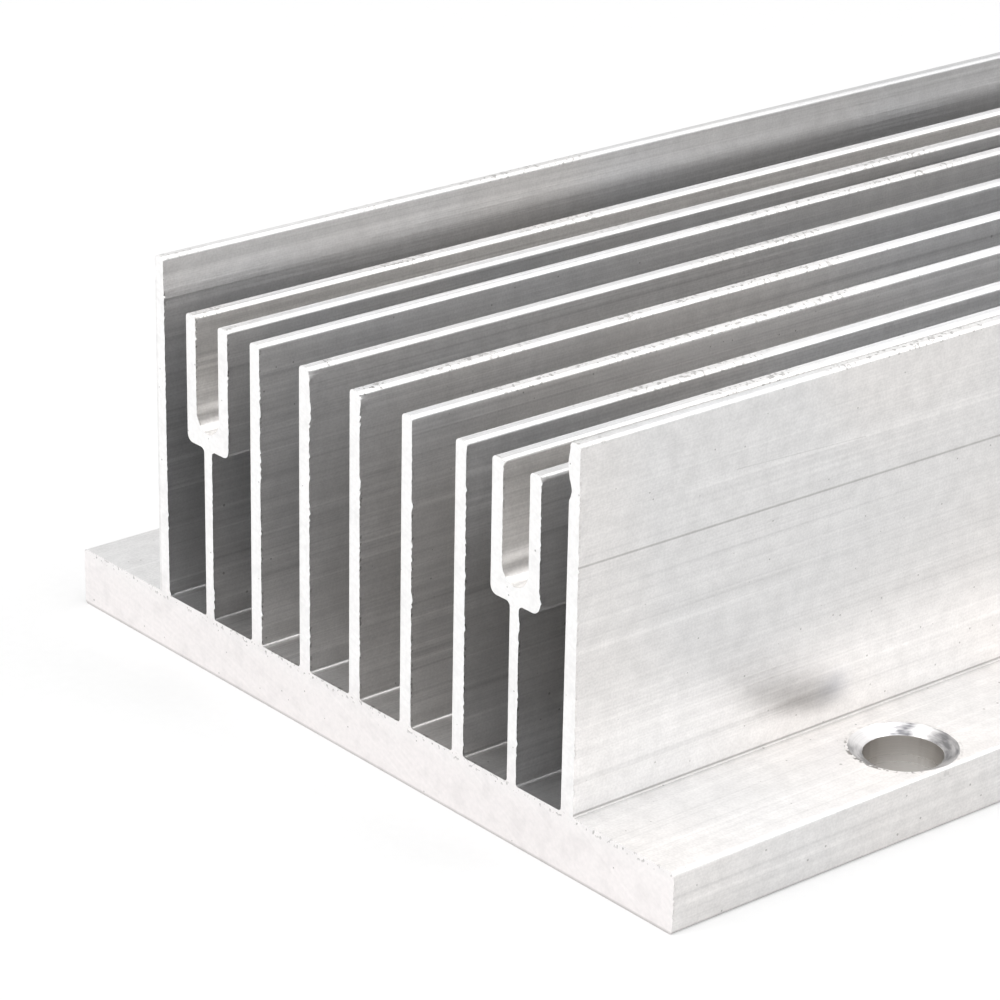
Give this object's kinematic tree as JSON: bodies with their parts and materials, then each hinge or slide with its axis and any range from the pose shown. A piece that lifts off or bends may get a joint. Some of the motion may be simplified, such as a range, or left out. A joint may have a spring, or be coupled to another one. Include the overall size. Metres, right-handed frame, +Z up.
{
  "type": "heat sink",
  "caption": "Extruded aluminium heat sink with drilled base flanges, plain fins between taller outer walls, and two U-shaped screw channels along its length",
  "frame": {"origin": "middle of the underside of the base", "axes": "+Z up from the base to the fin tips, +Y along the extrusion, +X across the fins"},
  "size_m": [0.078, 0.15, 0.036],
  "materials": {
    "aluminium": "bare mill-finish extrusion with saw-cut ends"
  },
  "bodies": {
    "root": {"heat_sink": "aluminium"}
  },
  "joints": []
}
